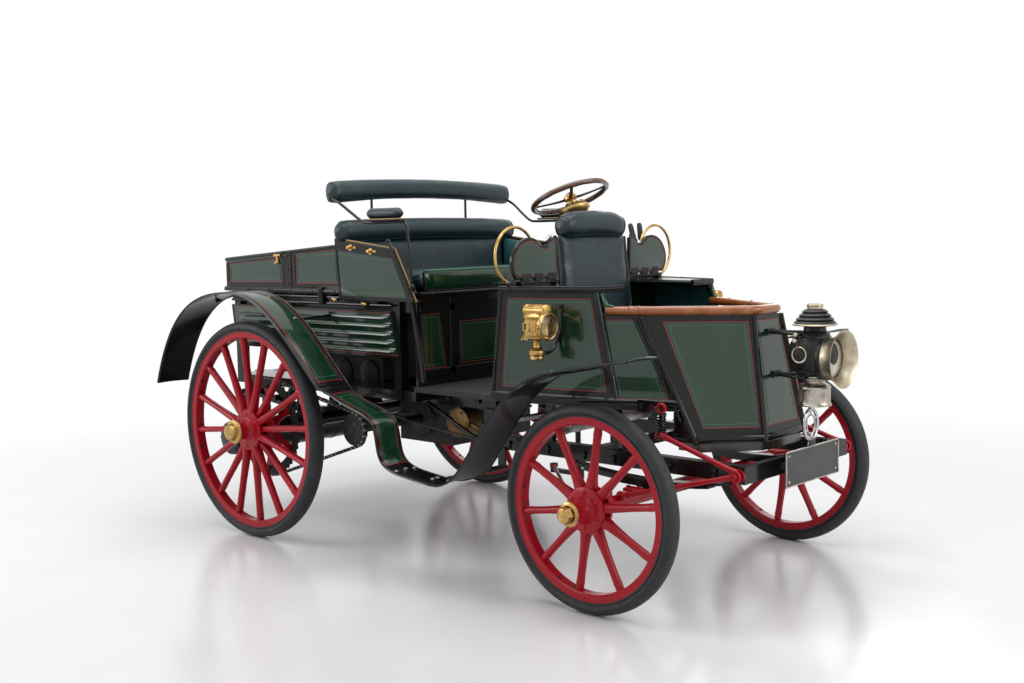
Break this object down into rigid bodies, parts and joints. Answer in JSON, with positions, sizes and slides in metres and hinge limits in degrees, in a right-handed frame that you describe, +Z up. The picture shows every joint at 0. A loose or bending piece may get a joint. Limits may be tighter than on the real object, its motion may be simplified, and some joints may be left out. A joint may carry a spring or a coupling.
{
  "type": "brass era car",
  "caption": "Brass era car with a boat-shaped front tub, rear engine, bench seat, folding seat wings, chain drive and working steering.",
  "frame": {"origin": "on the ground, below the middle of the whole car", "axes": "+X forward, +Y to the left of the car, +Z up"},
  "size_m": [2.9718, 1.664, 1.5109],
  "materials": {
    "black_paint": "gloss",
    "green_paint": "gloss with pinstripes",
    "red_paint": "gloss",
    "tyre": "matt",
    "leather": "satin",
    "brass": "polished, slightly aged",
    "wood": "varnished",
    "bamboo": "varnished",
    "iron": "oily",
    "tinned_metal": "dull",
    "floor_cloth": "matt",
    "lamp_black": "satin",
    "plate_black": "satin"
  },
  "bodies": {
    "car_body": {"chassis_frame": "black_paint", "floor_boards": "floor_cloth", "engine_and_gearbox": "iron", "water_tank": "tinned_metal", "silencer": "black_paint", "drive_chains": "iron", "front_axle": "red_paint", "rear_axle": "black_paint", "springs": "black_paint", "front_stays": "red_paint", "steering_column": "brass", "fender_right": "green_paint", "fender_left": "green_paint", "louvre_panels": "green_paint", "rear_box": "green_paint", "bench_frame": "black_paint", "bench_cushion": "leather", "bench_back": "leather", "head_and_arm_pads": "leather", "seat_irons": "black_paint", "front_tub": "green_paint", "bamboo_rail": "bamboo", "shelves": "black_paint", "front_seat_back": "leather", "front_seat_cushion": "leather", "side_lamps": "brass", "headlamp": "lamp_black", "number_plate": "plate_black"},
    "knuckle_right": {"knuckle_right": "red_paint"},
    "knuckle_left": {"knuckle_left": "red_paint"},
    "tie_rod": {"tie_rod": "red_paint"},
    "drag_link": {"drag_link": "red_paint"},
    "steering_shaft": {"steering_shaft": "iron"},
    "steering_wheel": {"steering_wheel": "wood"},
    "rear_wheel_right": {"rear_wheel_right": "red_paint", "rear_tyre_right": "tyre"},
    "rear_wheel_left": {"rear_wheel_left": "red_paint", "rear_tyre_left": "tyre"},
    "front_wheel_right": {"front_wheel_right": "red_paint", "front_tyre_right": "tyre"},
    "front_wheel_left": {"front_wheel_left": "red_paint", "front_tyre_left": "tyre"},
    "rear_lid": {"rear_lid": "green_paint"},
    "wing_right": {"wing_right": "green_paint"},
    "wing_left": {"wing_left": "green_paint"}
  },
  "joints": [
    {"name": "knuckle_left_turn", "type": "hinge", "parent": "car_body", "child": "knuckle_left", "pos_m": [0.9, 0.56, 0.355], "axis": [0, 0, 1], "range_deg": [-28, 28]},
    {"name": "steering", "type": "hinge", "parent": "car_body", "child": "steering_wheel", "pos_m": [0.324, 0, 1.35], "axis": [-0.3907, 0, 0.9205], "range_deg": [-84.5, 84.5]},
    {"name": "shaft_turn", "type": "hinge", "parent": "car_body", "child": "steering_shaft", "pos_m": [0.324, 0, 0.4], "axis": [0, 0, 1], "range_deg": [-28.5, 28.5]},
    {"name": "knuckle_right_turn", "type": "hinge", "parent": "car_body", "child": "knuckle_right", "pos_m": [0.9, -0.56, 0.355], "axis": [0, 0, 1], "range_deg": [-28.5, 28.5]},
    {"name": "tie_rod_pivot", "type": "hinge", "parent": "knuckle_left", "child": "tie_rod", "pos_m": [0.77, 0.56, 0.285], "axis": [0, 0, 1], "range_deg": [-28.5, 28.5]},
    {"name": "drag_link_pivot", "type": "hinge", "parent": "steering_shaft", "child": "drag_link", "pos_m": [0.194, 0, 0.325], "axis": [0, 0, 1], "range_deg": [-28.5, 28.5]},
    {"name": "rear_wheel_right_spin", "type": "hinge", "parent": "car_body", "child": "rear_wheel_right", "pos_m": [-0.886, -0.71, 0.46], "axis": [0, 1, 0], "continuous": true},
    {"name": "rear_wheel_left_spin", "type": "hinge", "parent": "car_body", "child": "rear_wheel_left", "pos_m": [-0.886, 0.71, 0.46], "axis": [0, 1, 0], "continuous": true},
    {"name": "front_wheel_right_spin", "type": "hinge", "parent": "knuckle_right", "child": "front_wheel_right", "pos_m": [0.9, -0.644, 0.355], "axis": [0, 1, 0], "continuous": true},
    {"name": "front_wheel_left_spin", "type": "hinge", "parent": "knuckle_left", "child": "front_wheel_left", "pos_m": [0.9, 0.644, 0.355], "axis": [0, 1, 0], "continuous": true},
    {"name": "lid_open", "type": "hinge", "parent": "car_body", "child": "rear_lid", "pos_m": [-1.14706, 0.486, 1.17269], "axis": [-0.9975, 0, -0.0711], "range_deg": [0, 95]},
    {"name": "wing_right_fold", "type": "hinge", "parent": "car_body", "child": "wing_right", "pos_m": [0.413, -0.32, 1.089], "axis": [0, 1, 0], "range_deg": [0, 86]},
    {"name": "wing_left_fold", "type": "hinge", "parent": "car_body", "child": "wing_left", "pos_m": [0.413, 0.32, 1.089], "axis": [0, 1, 0], "range_deg": [0, 86]}
  ],
  "couplings": [
    {"joint": "steering", "follows": "knuckle_left_turn", "ratio": 3},
    {"joint": "shaft_turn", "follows": "knuckle_left_turn", "ratio": 1},
    {"joint": "knuckle_right_turn", "follows": "knuckle_left_turn", "ratio": 1},
    {"joint": "tie_rod_pivot", "follows": "knuckle_left_turn", "ratio": -1},
    {"joint": "drag_link_pivot", "follows": "knuckle_left_turn", "ratio": -1}
  ]
}
